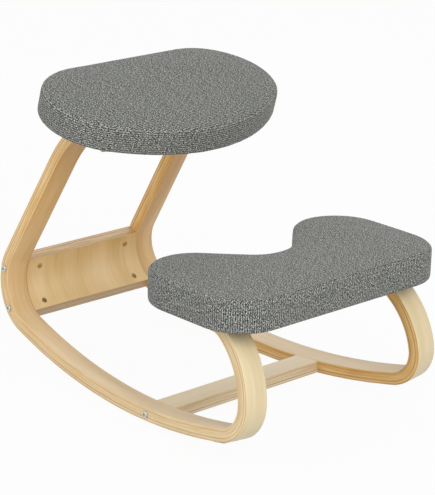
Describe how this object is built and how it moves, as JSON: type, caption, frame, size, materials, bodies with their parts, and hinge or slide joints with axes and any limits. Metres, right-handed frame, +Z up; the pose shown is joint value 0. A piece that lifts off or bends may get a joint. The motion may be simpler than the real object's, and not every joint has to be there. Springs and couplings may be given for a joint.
{
  "type": "backless ergonomic chair",
  "caption": "Backless rocking kneeling chair with bent laminated wood runners, a forward-sloping padded seat and a padded knee rest in grey woven cloth.",
  "frame": {"origin": "on the floor, midway between the two rockers, where they touch it at rest", "axes": "+Z up, -Y to the front, where the knees go, +X to the right of someone looking from the front"},
  "size_m": [0.484, 0.6806, 0.5146],
  "materials": {
    "birch_laminate": "satin",
    "birch_panel": "satin",
    "birch_board": "matte",
    "beech_dowel": "matte",
    "grey_weave": "matte",
    "foam": "matte",
    "underlining": "matte",
    "zinc_steel": "satin",
    "pad_rubber": "matte"
  },
  "bodies": {
    "root": {"left_side_frame": "birch_laminate", "right_side_frame": "birch_laminate", "rear_cross_panel": "birch_panel", "front_crossbar": "birch_panel", "seat_board": "birch_board", "knee_board": "birch_board", "panel_dowels": "beech_dowel", "crossbar_dowels": "beech_dowel", "seat_cover": "grey_weave", "knee_cover": "grey_weave", "seat_foam": "foam", "knee_foam": "foam", "seat_underlining": "underlining", "knee_underlining": "underlining", "panel_bolts": "zinc_steel", "panel_barrel_nuts": "zinc_steel", "crossbar_bolts": "zinc_steel", "crossbar_barrel_nuts": "zinc_steel", "seat_bolts": "zinc_steel", "seat_washers": "zinc_steel", "seat_tee_nuts": "zinc_steel", "knee_bolts": "zinc_steel", "knee_washers": "zinc_steel", "knee_tee_nuts": "zinc_steel", "stop_pads": "pad_rubber"}
  },
  "joints": []
}
